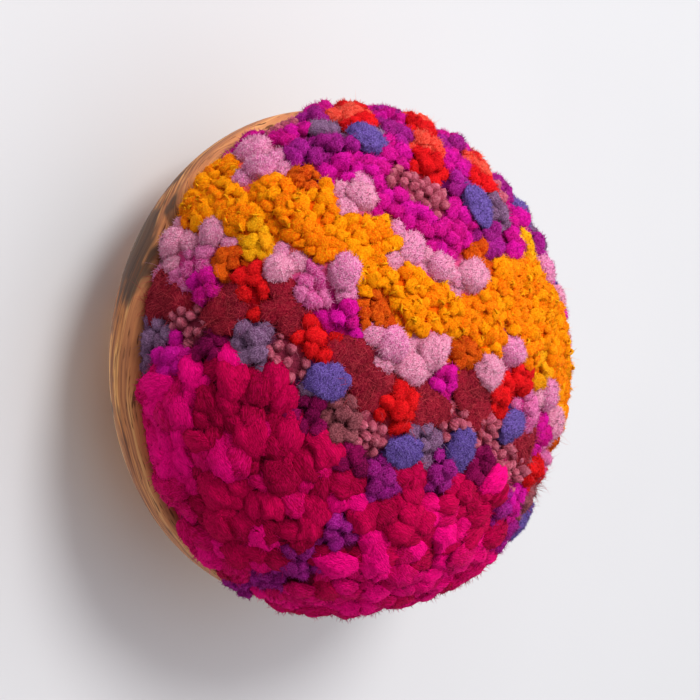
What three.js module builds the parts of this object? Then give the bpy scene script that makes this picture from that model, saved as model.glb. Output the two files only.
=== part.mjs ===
// A punch needle wall piece: a padded dome of punched yarn set into a shallow turned wooden bowl.
// Millimetres, +Z up. The wall is the plane y = 0, the piece stands out of it towards -Y,
// and the origin is the middle of the bowl's flat foot, which lies against the wall.
import * as THREE from "three";
import { mergeVertices } from "three/addons/utils/BufferGeometryUtils.js";

// Driving sizes of the bowl. Depths are counted from the wall into the room.
const BOWL_RADIUS = 75;
const BOWL_DEPTH = 36;
const FOOT_SHARE = 0.58; // foot radius as a share of the bowl's radius
const FLARE = 2.4; // how quickly the side turns from the foot up to the rim
const FOOT_CHAMFER = 1.2;
const RIM_WALL = 6;
const FLOOR_THICKNESS = 8;
const BOWL_SECTORS = 72;
const OUTER_STEPS = 9;
const LIP_STEPS = 6;
const INNER_STEPS = 6;

// Driving sizes of the textile, measured on the foundation that carries the pile's raised lumps.
const DOME_RADIUS = 74.0;
const DOME_RISE = 53.0; // from the dome's widest plane to its crown
const DOME_FULLNESS = 2.3; // 2 is an ellipse, more is fuller
const OVERHANG = 7.0; // the widest plane stands this far in front of the rim
const TUCK_FULLNESS = 2.3; // how squarely the overhang turns under to lie along the rim
const SEAT_GAP = 0.6; // cloth to wood
const CROWN_STEPS = 120;
const TUCK_STEPS = 24;
const PLUG_STEPS = 24;
const PILE_FADE = 1.6; // how soon the pile dies away under the overhang: 1 is at the seat, more is sooner
const MESH_DETAIL = 22; // divisions of each edge of the starting icosahedron
const HIDDEN_SHARE = 0.13; // how finely the part inside the bowl is meshed, against the dome
const SAME_PLACE = 1e-5; // points closer than this are one

// Hand-filled unevenness: broad swells and dips, by angle round the dome from +X towards +Z,
// by how far down the section they lie from the crown to the widest plane, and by how far they stand out.
const SWELL_WIDTH = 30;
const SWELLS = [
  { angle: 49, down: 0.62, rise: -1.7 },
  { angle: -46, down: 0.66, rise: 1.5 },
  { angle: -92, down: 0.98, rise: -1.5 },
  { angle: 178, down: 0.98, rise: -2.4 },
  { angle: 112, down: 0.95, rise: -1.0 },
];

// The pile's main lumps lie on a golden-angle spiral, each moved a little so that none line up.
const LUMP_COUNT = 290;
const GOLDEN_ANGLE = Math.PI * (3 - Math.sqrt(5));
const LUMP_REACH = 1.04; // area that the lumps cover, against the area down to the widest plane
const LUMP_STAGGER = 0.4; // the largest move along the spiral, in lumps
const LUMP_SHIFT = 2; // the largest move to the side
const LUMP_SPREAD = 0.25; // share by which a lump's rise varies
const SCATTER_TURN = 12.9898; // two numbers that spread the scattered values evenly
const SCATTER_SCALE = 43758.5453;

// Wavy bands of yarn cross the dome, sinking to the right.
const BAND_TILT = THREE.MathUtils.degToRad(68); // the way across the bands, from +X towards +Z
const WAVE_HEIGHT = 7;
const WAVE_LENGTH = 84;

// How each yarn stands: the width and rise of one lump, and how far its ground lies over the foundation.
const YARNS = {
  curls: { radius: 6.6, rise: 2.4, ground: 1.0 },
  mounds: { radius: 5.7, rise: 4.2, ground: -0.4 },
  bobbles: { radius: 5.4, rise: 3.4, ground: -0.4 },
  tufts: { radius: 5.5, rise: 3.6, ground: -0.2 },
  nap: { radius: 7.6, rise: 1.1, ground: 0.2 },
  pads: { radius: 6.2, rise: 3.4, ground: 0.2 },
  nubs: { radius: 5.0, rise: 2.8, ground: -0.6 },
  roving: { radius: 6.6, rise: 4.0, ground: -0.2 },
};

// Bands from the top to the bottom: where each ends across the dome, and its yarns in turn.
const BANDS = [
  { from: 56, yarns: ["tufts", "bobbles"] },
  { from: 46, yarns: ["pads", "bobbles", "nubs"] },
  { from: 37, yarns: ["bobbles"] },
  { from: 28, yarns: ["mounds", "mounds", "nubs"] },
  { from: 7, yarns: ["curls"] },
  { from: -2, yarns: ["mounds", "nubs", "mounds"] },
  { from: -9, yarns: ["bobbles", "tufts"] },
  { from: -16, yarns: ["nap", "tufts", "nap"] },
  { from: -26, yarns: ["pads", "nubs", "bobbles"] },
  { from: -32, yarns: ["bobbles"] },
  { from: -Infinity, yarns: ["roving"] },
];

// Radius of the bowl's outside at a depth.
function bowlOuter(depth) {
  const inward = (1 - FOOT_SHARE) * Math.pow(1 - depth / BOWL_DEPTH, FLARE);
  return BOWL_RADIUS * (1 - inward);
}

// Radius of the bowl's hollow at a depth.
function bowlInner(depth) {
  const share = (depth - FLOOR_THICKNESS) / (BOWL_DEPTH - FLOOR_THICKNESS);
  return (BOWL_RADIUS - RIM_WALL) * (1 - (1 - FOOT_SHARE) * Math.pow(1 - share, FLARE));
}

// The bowl's half section, from the middle of its foot round the lip to the middle of its hollow.
function bowlSection() {
  const lip = RIM_WALL / 2;
  const lipDepth = BOWL_DEPTH - lip;
  const points = [[0, 0], [bowlOuter(0) - FOOT_CHAMFER, 0]];
  for (let i = 0; i <= OUTER_STEPS; i++) {
    const depth = FOOT_CHAMFER + ((lipDepth - FOOT_CHAMFER) * i) / OUTER_STEPS;
    points.push([bowlOuter(depth), depth]);
  }
  const outerEdge = bowlOuter(lipDepth);
  const innerEdge = bowlInner(lipDepth);
  const middle = (outerEdge + innerEdge) / 2;
  const half = (outerEdge - innerEdge) / 2;
  for (let i = 1; i < LIP_STEPS; i++) {
    const angle = (Math.PI * i) / LIP_STEPS;
    points.push([middle + half * Math.cos(angle), lipDepth + lip * Math.sin(angle)]);
  }
  for (let i = 0; i <= INNER_STEPS; i++) {
    const depth = lipDepth + ((FLOOR_THICKNESS - lipDepth) * i) / INNER_STEPS;
    points.push([bowlInner(depth), depth]);
  }
  points.push([0, FLOOR_THICKNESS]);
  return points.map(([radius, depth]) => new THREE.Vector2(radius, -depth));
}

// The turned bowl: its section swept round the wall's normal.
function makeBowl() {
  const material = new THREE.MeshStandardMaterial({ color: 0x8e5a36, roughness: 0.45, metalness: 0 });
  const mesh = new THREE.Mesh(new THREE.LatheGeometry(bowlSection().reverse(), BOWL_SECTORS), material);
  mesh.name = "wooden_bowl";
  return mesh;
}

// The textile's half section from its crown over the widest plane, round the overhang and down into the bowl.
// Each row also has its share of the mesh, because the hidden part needs few faces.
function domeSection() {
  const widest = BOWL_DEPTH + OVERHANG;
  const seatRadius = BOWL_RADIUS - RIM_WALL - SEAT_GAP;
  const seatDepth = BOWL_DEPTH + SEAT_GAP;
  const power = 2 / DOME_FULLNESS;
  const tuckPower = 2 / TUCK_FULLNESS;
  const rows = [];
  for (let i = 0; i <= CROWN_STEPS; i++) {
    const angle = (Math.PI / 2) * (1 - i / CROWN_STEPS);
    const radius = DOME_RADIUS * Math.pow(Math.max(Math.cos(angle), 0), power);
    const depth = widest + DOME_RISE * Math.pow(Math.sin(angle), power);
    rows.push({ radius, depth, share: 1, lift: 1 });
  }
  for (let i = 1; i <= TUCK_STEPS; i++) {
    const angle = (Math.PI / 2) * (i / TUCK_STEPS);
    const outward = Math.pow(Math.max(Math.cos(angle), 0), tuckPower);
    const radius = seatRadius + (DOME_RADIUS - seatRadius) * outward;
    const depth = widest - (widest - seatDepth) * Math.pow(Math.sin(angle), tuckPower);
    rows.push({ radius, depth, share: 1, lift: Math.max(0, 1 - (PILE_FADE * i) / TUCK_STEPS) });
  }
  for (let i = 1; i <= PLUG_STEPS; i++) {
    const depth = seatDepth + ((FLOOR_THICKNESS + SEAT_GAP - seatDepth) * i) / PLUG_STEPS;
    const inside = bowlInner(Math.min(depth, BOWL_DEPTH)) - SEAT_GAP;
    rows.push({ radius: Math.min(seatRadius, inside), depth, share: HIDDEN_SHARE, lift: 0 });
  }
  rows.push({ radius: 0, depth: FLOOR_THICKNESS + SEAT_GAP, share: HIDDEN_SHARE, lift: 0 });
  return rows;
}

// Adds to each row of a section the area swept up to it, weighted by its share.
function measureSection(rows) {
  let area = 0;
  rows.forEach((row, i) => {
    if (i > 0) {
      const before = rows[i - 1];
      const step = Math.hypot(row.radius - before.radius, row.depth - before.depth);
      area += row.share * Math.PI * (row.radius + before.radius) * step;
    }
    row.area = area;
  });
  return rows;
}

const SECTION = measureSection(domeSection());
const WIDEST_ROW = SECTION.find((row) => row.depth <= BOWL_DEPTH + OVERHANG + SAME_PLACE);

// The place on the section under which a given weighted area lies, with the outward normal there.
function sectionAt(area) {
  let i = 1;
  while (i < SECTION.length - 1 && SECTION[i].area < area) i++;
  const a = SECTION[i - 1];
  const b = SECTION[i];
  const t = THREE.MathUtils.clamp((area - a.area) / (b.area - a.area || 1), 0, 1);
  const mix = (key) => THREE.MathUtils.lerp(a[key], b[key], t);
  const step = Math.hypot(b.radius - a.radius, b.depth - a.depth) || 1;
  return {
    radius: mix("radius"),
    depth: mix("depth"),
    lift: mix("lift"),
    normalOut: (a.depth - b.depth) / step,
    normalFront: (b.radius - a.radius) / step,
  };
}

// A point in space at an angle round the dome.
function pointOn(place, angle) {
  return new THREE.Vector3(place.radius * Math.cos(angle), -place.depth, place.radius * Math.sin(angle));
}

// The yarn that is punched at a point: the next in turn of the band that crosses there.
function yarnAt(point, turn) {
  const along = point.x * -Math.sin(BAND_TILT) + point.z * Math.cos(BAND_TILT);
  const across = point.x * Math.cos(BAND_TILT) + point.z * Math.sin(BAND_TILT);
  const waved = across + WAVE_HEIGHT * Math.sin((2 * Math.PI * along) / WAVE_LENGTH);
  const { yarns } = BANDS.find((band) => waved > band.from);
  return yarns[turn % yarns.length];
}

// A number from -1 to 1 that looks random and is the same on every run.
function scatter(index, series) {
  const value = Math.sin((index + series / 10) * SCATTER_TURN) * SCATTER_SCALE;
  return 2 * (value - Math.floor(value)) - 1;
}

// The main lumps of the pile, each of equal area, from the crown out to the overhang.
function makeLumps() {
  const lumps = [];
  const reach = WIDEST_ROW.area * LUMP_REACH;
  for (let i = 0; i < LUMP_COUNT; i++) {
    const step = i + 0.5 + LUMP_STAGGER * scatter(i, 3);
    const place = sectionAt((reach * step) / LUMP_COUNT);
    const shift = (LUMP_SHIFT * scatter(i, 7)) / (place.radius + LUMP_SHIFT);
    const centre = pointOn(place, i * GOLDEN_ANGLE + shift);
    const yarn = YARNS[yarnAt(centre, i)];
    lumps.push({ centre, ...yarn, rise: yarn.rise * (1 + LUMP_SPREAD * scatter(i, 1)) });
  }
  return lumps;
}

// The broad swells, each at its place on the dome.
function makeSwells() {
  return SWELLS.map(({ angle, down, rise }) => {
    const place = sectionAt(WIDEST_ROW.area * down);
    return { centre: pointOn(place, THREE.MathUtils.degToRad(angle)), rise };
  });
}

// How far the pile stands off the foundation at a point: the highest rounded lump over the ground near it,
// carried on the broad swells.
function pileHeight(point, lumps, swells) {
  let height = -Infinity;
  let nearest = Infinity;
  let ground = 0;
  for (const lump of lumps) {
    const distance = point.distanceTo(lump.centre);
    if (distance < nearest) {
      nearest = distance;
      ground = lump.ground;
    }
    const share = distance / lump.radius;
    if (share < 1) height = Math.max(height, lump.ground + lump.rise * Math.sqrt(1 - share * share));
  }
  const swelling = swells.reduce((sum, swell) => {
    const share = point.distanceTo(swell.centre) / SWELL_WIDTH;
    return sum + swell.rise * Math.exp(-share * share);
  }, 0);
  return Math.max(height, ground) + swelling;
}

// The textile: an evenly divided ball pulled onto the section, with the lumps raised in its points.
function makeDome() {
  const ball = new THREE.IcosahedronGeometry(1, MESH_DETAIL);
  ball.deleteAttribute("normal");
  ball.deleteAttribute("uv");
  const geometry = mergeVertices(ball, SAME_PLACE);
  const position = geometry.getAttribute("position");
  const total = SECTION[SECTION.length - 1].area;
  const lumps = makeLumps();
  const swells = makeSwells();
  const direction = new THREE.Vector3();
  for (let i = 0; i < position.count; i++) {
    direction.fromBufferAttribute(position, i).normalize();
    const angle = Math.atan2(direction.z, direction.x);
    const place = sectionAt((total * (1 + direction.y)) / 2);
    const point = pointOn(place, angle);
    const rise = place.lift > 0 ? place.lift * pileHeight(point, lumps, swells) : 0;
    point.x += rise * place.normalOut * Math.cos(angle);
    point.z += rise * place.normalOut * Math.sin(angle);
    point.y -= rise * place.normalFront;
    position.setXYZ(i, point.x, point.y, point.z);
  }
  geometry.computeVertexNormals();
  const material = new THREE.MeshStandardMaterial({ color: 0xc2185b, roughness: 0.95, metalness: 0 });
  const mesh = new THREE.Mesh(geometry, material);
  mesh.name = "punched_dome";
  return mesh;
}

const wallPiece = new THREE.Group();
wallPiece.name = "punch_needle_wall_piece";
wallPiece.add(makeBowl(), makeDome());

export default wallPiece;
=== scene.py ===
import collections
import math

import bpy
import numpy as np
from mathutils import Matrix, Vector
from mathutils.bvhtree import BVHTree


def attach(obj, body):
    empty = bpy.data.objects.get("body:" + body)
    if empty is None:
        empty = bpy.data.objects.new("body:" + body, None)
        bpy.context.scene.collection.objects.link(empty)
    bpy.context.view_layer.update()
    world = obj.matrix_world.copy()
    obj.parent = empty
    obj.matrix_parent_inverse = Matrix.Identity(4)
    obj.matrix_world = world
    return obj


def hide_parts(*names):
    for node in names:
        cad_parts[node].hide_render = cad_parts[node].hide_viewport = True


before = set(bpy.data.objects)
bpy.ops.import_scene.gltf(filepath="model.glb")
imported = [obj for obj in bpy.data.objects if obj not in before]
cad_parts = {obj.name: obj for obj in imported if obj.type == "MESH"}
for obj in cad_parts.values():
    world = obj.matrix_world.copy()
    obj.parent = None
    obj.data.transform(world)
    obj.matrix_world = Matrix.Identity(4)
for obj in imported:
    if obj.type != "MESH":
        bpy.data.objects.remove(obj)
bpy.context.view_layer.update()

# The bowl: one piece of hardwood, turned to a flat foot that lies on the wall, a flared side and a
# rounded lip. The plank's layers lie across its depth, so they show as streaks along the side,
# and they bend round a dark knot at the upper left. It is oiled to a satin finish.
BOWL_RADIUS = 0.075
BOWL_DEPTH = 0.036
FOOT_SHARE = 0.58
FLARE = 2.4
FOOT_CHAMFER = 0.0012
RIM_WALL = 0.006
FLOOR_THICKNESS = 0.008
BOWL_SECTORS = 180
OUTER_STEPS, LIP_STEPS, INNER_STEPS = 22, 10, 8
SMOOTH_ANGLE = math.radians(35)
SAME_PLACE = 1e-6
KNOT_AT = (-0.0600, -0.0210, 0.0360)
KNOT_REACH = 0.0364
# A small dark spot where the lip has a nick, which is not cut into the shape: partly dark wood, partly the
# nick's painted shade.
NICK_AT = (-0.0697, -0.0198, -0.0118)
NICK_CORE, NICK_EDGE = 0.00095, 0.00304
# Streaks in the wood: how far apart they lie across the layers, how far they run, and how fine they are.
BROAD_STREAKS = (0.0042, 0.055, 3.0)
THIN_STREAKS = (0.0011, 0.030, 2.0)
PORES = (0.0005, 0.006, 1.0)
SMOKE = (0.0070, 0.016, 2.0)
# How far the layers drift by themselves, and bend round the knot.
DRIFT_SCALE, DRIFT, KNOT_BEND = 26.0, 0.011, 0.010
# The band by the lip: plainer wood with less grain, painted lighter too, which is painted light against
# the shade under the dome's overhang.
LIP_BAND_FROM, LIP_BAND_FULL = -0.026, -0.035
LINE_SHARE, LIP_SHARE, KNOT_SHARE, SMOKE_IN_KNOT = 0.85, 0.65, 0.88, 0.40
LIP_PLAIN_LIT_WOOD, KNOT_WOOD = (192, 124, 86), (66, 52, 46)
PORE_WOOD, NICK_DARK_AND_SHADE = (112, 66, 40), (52, 32, 24)
OIL_SHINE, OIL_ROUGHEST, OIL_SMOOTHEST = 0.14, 0.68, 0.50
TOOLING_STRENGTH, TOOLING_DEPTH = 0.22, 0.0003


def dyed(red, green, blue):
    """A colour given as it is seen, 0 to 255, in the linear values that a shader takes."""
    seen = np.array([red, green, blue]) / 255
    linear = np.where(seen <= 0.04045, seen / 12.92, ((seen + 0.055) / 1.055) ** 2.4)
    return (*linear.tolist(), 1.0)


def node(tree, kind, inputs=None, **settings):
    """Adds a shader node, with its settings, and sets or links its inputs."""
    made = tree.nodes.new("ShaderNode" + kind)
    for key, value in settings.items():
        setattr(made, key, value)
    for socket, value in (inputs or {}).items():
        if isinstance(value, bpy.types.NodeSocket):
            tree.links.new(value, made.inputs[socket])
        else:
            made.inputs[socket].default_value = value
    return made


def math_node(tree, operation, first, second=0.0, clamp=False):
    """A sum, product or the like of two values."""
    made = node(tree, "Math", {0: first, 1: second}, operation=operation, use_clamp=clamp)
    return made.outputs[0]


def fade(tree, value, start, end):
    """A soft step that goes from 0 at start to 1 at end."""
    limits = {"Value": value, "From Min": start, "From Max": end}
    return node(tree, "MapRange", limits, interpolation_type="SMOOTHSTEP").outputs["Result"]


def mixed(tree, factor, first, second, way="MIX"):
    """Two colours mixed by a factor."""
    made = node(tree, "Mix", data_type="RGBA", blend_type=way)
    for socket, value in ((0, factor), (6, first), (7, second)):
        if isinstance(value, bpy.types.NodeSocket):
            tree.links.new(value, made.inputs[socket])
        else:
            made.inputs[socket].default_value = value
    return made.outputs[2]


def ramp(tree, value, *stops):
    """A run of colours, each at its place from 0 to 1."""
    made = node(tree, "ValToRGB", {"Fac": value})
    for i, (at, colour) in enumerate(stops):
        stop = made.color_ramp.elements[i] if i < 2 else made.color_ramp.elements.new(at)
        stop.position = at
        stop.color = colour
    return made.outputs["Color"]


def bowl_outer(depth):
    inward = (1 - FOOT_SHARE) * (1 - depth / BOWL_DEPTH) ** FLARE
    return BOWL_RADIUS * (1 - inward)


def bowl_inner(depth):
    share = (depth - FLOOR_THICKNESS) / (BOWL_DEPTH - FLOOR_THICKNESS)
    return (BOWL_RADIUS - RIM_WALL) * (1 - (1 - FOOT_SHARE) * (1 - share) ** FLARE)


def bowl_outline():
    """The bowl's half section, from the middle of the foot round the lip to the middle of the hollow."""
    lip = RIM_WALL / 2
    lip_depth = BOWL_DEPTH - lip
    points = [(0, 0), (bowl_outer(0) - FOOT_CHAMFER, 0)]
    for depth in np.linspace(FOOT_CHAMFER, lip_depth, OUTER_STEPS):
        points.append((bowl_outer(depth), depth))
    middle = (bowl_outer(lip_depth) + bowl_inner(lip_depth)) / 2
    half = (bowl_outer(lip_depth) - bowl_inner(lip_depth)) / 2
    for angle in np.linspace(0, math.pi, LIP_STEPS + 1)[1:-1]:
        points.append((middle + half * math.cos(angle), lip_depth + lip * math.sin(angle)))
    for depth in np.linspace(lip_depth, FLOOR_THICKNESS, INNER_STEPS):
        points.append((bowl_inner(depth), depth))
    points.append((0, FLOOR_THICKNESS))
    return [Vector((radius, -depth, 0)) for radius, depth in points]


outline = bowl_outline()
bpy.ops.object.select_all(action="DESELECT")
bpy.ops.mesh.primitive_plane_add(size=RIM_WALL)
bowl = bpy.context.object
bowl.name = bowl.data.name = "turned_bowl"
bpy.ops.object.mode_set(mode="EDIT")
bpy.ops.mesh.select_all(action="SELECT")
bpy.ops.mesh.merge(type="CENTER")
for before, after in zip(outline, outline[1:]):
    bpy.ops.mesh.extrude_vertices_move(TRANSFORM_OT_translate={"value": after - before})
bpy.ops.mesh.select_all(action="SELECT")
bpy.ops.mesh.spin(steps=BOWL_SECTORS, angle=2 * math.pi, center=(0, 0, 0), axis=(0, 1, 0))
bpy.ops.mesh.select_all(action="SELECT")
bpy.ops.mesh.remove_doubles(threshold=SAME_PLACE)
bpy.ops.mesh.normals_make_consistent(inside=False)
bpy.ops.object.mode_set(mode="OBJECT")
bpy.ops.object.shade_smooth_by_angle(angle=SMOOTH_ANGLE)

wood = bpy.data.materials.new("streaked_hardwood")
wood.use_nodes = True
tree = wood.node_tree
place = node(tree, "TexCoord").outputs["Object"]
knot_distance = node(tree, "VectorMath", {0: place, 1: KNOT_AT}, operation="DISTANCE").outputs["Value"]
round_knot = fade(tree, knot_distance, KNOT_REACH, 0.0)
drift = node(tree, "TexNoise", {"Vector": place, "Scale": DRIFT_SCALE, "Detail": 2.0}).outputs["Fac"]
sway = math_node(tree, "ADD", math_node(tree, "MULTIPLY", drift, DRIFT),
                 math_node(tree, "MULTIPLY", round_knot, KNOT_BEND))
apart = node(tree, "SeparateXYZ", {"Vector": place}).outputs
layer = math_node(tree, "ADD", apart["Y"], sway)


def grain(pitch, run, detail):
    """Streaks a pitch apart across the layers, and many times as long along them."""
    along = {"X": math_node(tree, "MULTIPLY", apart["X"], pitch / run), "Y": layer,
             "Z": math_node(tree, "MULTIPLY", apart["Z"], pitch / run)}
    stretched = node(tree, "CombineXYZ", along).outputs["Vector"]
    values = {"Vector": stretched, "Scale": 1 / pitch, "Detail": detail, "Roughness": 0.6}
    return node(tree, "TexNoise", values).outputs["Fac"]


broad = grain(*BROAD_STREAKS)
thin = grain(*THIN_STREAKS)
pores = grain(*PORES)
smoke = math_node(tree, "ADD", grain(*SMOKE), math_node(tree, "MULTIPLY", round_knot, SMOKE_IN_KNOT))
in_knot = fade(tree, smoke, 0.60, 0.76)
body = ramp(tree, broad, (0.30, dyed(120, 68, 36)), (0.42, dyed(190, 120, 66)),
            (0.52, dyed(218, 148, 84)), (0.60, dyed(250, 196, 122)), (0.70, dyed(196, 124, 70)))
line = ramp(tree, thin, (0.34, dyed(104, 66, 44)), (0.48, dyed(226, 200, 178)),
            (0.60, dyed(255, 255, 250)))
streaked = mixed(tree, LINE_SHARE, body, line, "MULTIPLY")
# Near the lip the wood turns plainer and lighter: partly the lip's plain band, partly painted light
# lifting the shade under the dome.
near_lip = fade(tree, apart["Y"], LIP_BAND_FROM, LIP_BAND_FULL)
plain = mixed(tree, math_node(tree, "MULTIPLY", near_lip, LIP_SHARE), streaked, dyed(*LIP_PLAIN_LIT_WOOD))
knotted = mixed(tree, math_node(tree, "MULTIPLY", in_knot, KNOT_SHARE), plain, dyed(*KNOT_WOOD))
pored = mixed(tree, fade(tree, pores, 0.40, 0.30), knotted, dyed(*PORE_WOOD))
# Painted shade in part: the nick's dark spot stands for the shade of a notch that the mesh does not have.
nick_distance = node(tree, "VectorMath", {0: place, 1: NICK_AT}, operation="DISTANCE").outputs["Value"]
nick_darkened = mixed(tree, fade(tree, nick_distance, NICK_EDGE, NICK_CORE), pored, dyed(*NICK_DARK_AND_SHADE))
oiled = {"Value": thin, "To Min": OIL_ROUGHEST, "To Max": OIL_SMOOTHEST}
gloss = node(tree, "MapRange", oiled).outputs["Result"]
tooling = {"Height": math_node(tree, "ADD", thin, pores), "Strength": TOOLING_STRENGTH,
           "Distance": TOOLING_DEPTH}
tooled = node(tree, "Bump", tooling)
finish = tree.nodes["Principled BSDF"]
tree.links.new(nick_darkened, finish.inputs["Base Color"])
tree.links.new(gloss, finish.inputs["Roughness"])
tree.links.new(tooled.outputs["Normal"], finish.inputs["Normal"])
finish.inputs["Specular IOR Level"].default_value = OIL_SHINE
bowl.data.materials.append(wood)
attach(bowl, "root")
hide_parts("wooden_bowl")

# The padded ground: foundation cloth drawn over a fibre filling and set into the bowl's mouth. Only its
# surface shows, down between the punched yarns, so it lies a little under the pile's height. It takes each
# nearby yarn's dark colour from deep in the pile: painted shade in the recesses between the tufts.
GROUND_DEPTH = 0.0010
DOME_RADIUS = 0.074
DOME_RISE = 0.053
DOME_FULLNESS = 2.3
OVERHANG = 0.007
TUCK_FULLNESS = 2.3
SEAT_GAP = 0.0006
CROWN_STEPS, TUCK_STEPS = 120, 24
LUMP_COUNT = 290
GOLDEN_ANGLE = math.pi * (3 - math.sqrt(5))
LUMP_REACH = 1.04
LUMP_STAGGER = 0.4
LUMP_SHIFT = 0.002
SCATTER_TURN, SCATTER_SCALE = 12.9898, 43758.5453
BAND_TILT = math.radians(68)
WAVE_HEIGHT = 0.007
WAVE_LENGTH = 0.084
LINT_SCALE, LINT_RELIEF, LINT_DEPTH = 1400.0, 0.8, 0.0008
CLOTH_ROUGHNESS, CLOTH_SHINE = 0.95, 0.1
# Bands from the top to the bottom: where each ends across the dome, and its yarns in turn.
BANDS = [
    (0.056, ["red", "magenta", "coral", "purple"]),
    (0.046, ["lavender", "dusty", "rose", "lavender", "taupe", "rose"]),
    (0.037, ["purple", "magenta", "magenta"]),
    (0.028, ["pink", "pink", "rust", "pink", "pink", "gold"]),
    (0.007, ["orange"]),
    (-0.002, ["pink", "rust", "pink", "pink", "gold", "pink"]),
    (-0.009, ["magenta", "red", "mauve", "coral"]),
    (-0.016, ["brick", "red", "brick"]),
    (-0.026, ["lavender", "rose", "dusty", "lavender", "rose", "taupe"]),
    (-0.032, ["purple", "plum", "magenta", "plum"]),
    (-1.0, ["crimson"] * 10 + ["purple"]),
]
# Each yarn's dark colour deep in the pile, darker than its dye: painted shade where little light reaches.
PAINTED_SHADE_COLOURS = {
    "orange": dyed(226, 90, 0), "gold": dyed(200, 96, 0), "rust": dyed(132, 26, 2),
    "pink": dyed(178, 60, 106), "mauve": dyed(156, 30, 98), "magenta": dyed(126, 0, 76),
    "red": dyed(132, 0, 10), "coral": dyed(162, 12, 14), "brick": dyed(84, 0, 20),
    "lavender": dyed(42, 22, 78), "dusty": dyed(62, 32, 60), "taupe": dyed(76, 34, 42),
    "rose": dyed(112, 32, 54), "purple": dyed(70, 0, 56), "plum": dyed(48, 0, 26),
    "crimson": dyed(84, 0, 30), "hot_pink": dyed(98, 0, 40),
}


def dome_section():
    """Rows of the foundation's half section from crown to seat: radius, depth and the area so far."""
    widest = BOWL_DEPTH + OVERHANG
    seat_radius = BOWL_RADIUS - RIM_WALL - SEAT_GAP
    seat_depth = BOWL_DEPTH + SEAT_GAP
    crown = np.linspace(math.pi / 2, 0, CROWN_STEPS + 1)
    tuck = np.linspace(0, math.pi / 2, TUCK_STEPS + 1)[1:]
    out = np.maximum(np.cos(crown), 0) ** (2 / DOME_FULLNESS)
    front = np.sin(crown) ** (2 / DOME_FULLNESS)
    under_out = np.maximum(np.cos(tuck), 0) ** (2 / TUCK_FULLNESS)
    under = np.sin(tuck) ** (2 / TUCK_FULLNESS)
    radius = np.concatenate([DOME_RADIUS * out, seat_radius + (DOME_RADIUS - seat_radius) * under_out])
    depth = np.concatenate([widest + DOME_RISE * front, widest - (widest - seat_depth) * under])
    ring = math.pi * (radius[1:] + radius[:-1]) * np.hypot(np.diff(radius), np.diff(depth))
    return radius, depth, np.concatenate([[0], np.cumsum(ring)])


def scattered(index, series):
    """Numbers from -1 to 1 that look random and are the same on every run."""
    value = np.sin((index + series / 10) * SCATTER_TURN) * SCATTER_SCALE
    return 2 * (value - np.floor(value)) - 1


radius_row, depth_row, area_row = dome_section()
index = np.arange(LUMP_COUNT)
lump_step = index + 0.5 + LUMP_STAGGER * scattered(index, 3)
lump_area = area_row[CROWN_STEPS] * LUMP_REACH * lump_step / LUMP_COUNT
lump_radius = np.interp(lump_area, area_row, radius_row)
lump_angle = index * GOLDEN_ANGLE + LUMP_SHIFT * scattered(index, 7) / (lump_radius + LUMP_SHIFT)
lump_at = np.stack([lump_radius * np.cos(lump_angle), -np.interp(lump_area, area_row, depth_row),
                    lump_radius * np.sin(lump_angle)], 1)


def yarn_of_lump(i):
    """The yarn that is punched at a lump: the next in turn of the band that crosses there."""
    x, _, z = lump_at[i]
    along = -x * math.sin(BAND_TILT) + z * math.cos(BAND_TILT)
    across = x * math.cos(BAND_TILT) + z * math.sin(BAND_TILT)
    waved = across + WAVE_HEIGHT * math.sin(2 * math.pi * along / WAVE_LENGTH)
    turns = next(turns for start, turns in BANDS if waved > start)
    return turns[i % len(turns)]


lump_yarn = np.array([yarn_of_lump(i) for i in range(LUMP_COUNT)])

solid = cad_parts["punched_dome"]
ground = bpy.data.objects.new("padded_ground", solid.data.copy())
ground.data.name = ground.name
bpy.context.scene.collection.objects.link(ground)
bpy.ops.object.select_all(action="DESELECT")
ground.select_set(True)
bpy.context.view_layer.objects.active = ground
bpy.ops.object.mode_set(mode="EDIT")
bpy.ops.mesh.select_all(action="SELECT")
bpy.ops.mesh.remove_doubles(threshold=SAME_PLACE)
bpy.ops.mesh.normals_make_consistent(inside=False)
bpy.ops.transform.shrink_fatten(value=-GROUND_DEPTH)
bpy.ops.mesh.vertices_smooth(factor=0.5, repeat=3)
bpy.ops.object.mode_set(mode="OBJECT")
bpy.ops.object.shade_smooth()


def points_of(mesh):
    """A mesh's points as an array."""
    found = np.empty(len(mesh.vertices) * 3, np.float32)
    mesh.vertices.foreach_get("co", found)
    return found.reshape(-1, 3).astype(float)


def nearest_lump(points):
    """For each point, the number of the lump that it is nearest to."""
    parts = np.array_split(points, max(1, len(points) // 4000))
    return np.concatenate([((p[:, None] - lump_at[None]) ** 2).sum(2).argmin(1) for p in parts])


ground_yarn = lump_yarn[nearest_lump(points_of(ground.data))]
ground_shade_colour = np.array([PAINTED_SHADE_COLOURS[name] for name in ground_yarn], np.float32)
shade_attribute = ground.data.attributes.new("ground_shade_colour", "FLOAT_COLOR", "POINT")
shade_attribute.data.foreach_set("color", ground_shade_colour.ravel())
ground_wool = bpy.data.materials.new("ground_in_painted_shade")
ground_wool.use_nodes = True
tree = ground_wool.node_tree
place = node(tree, "TexCoord").outputs["Object"]
lint = node(tree, "TexNoise", {"Vector": place, "Scale": LINT_SCALE, "Detail": 3.0}).outputs["Fac"]
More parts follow.
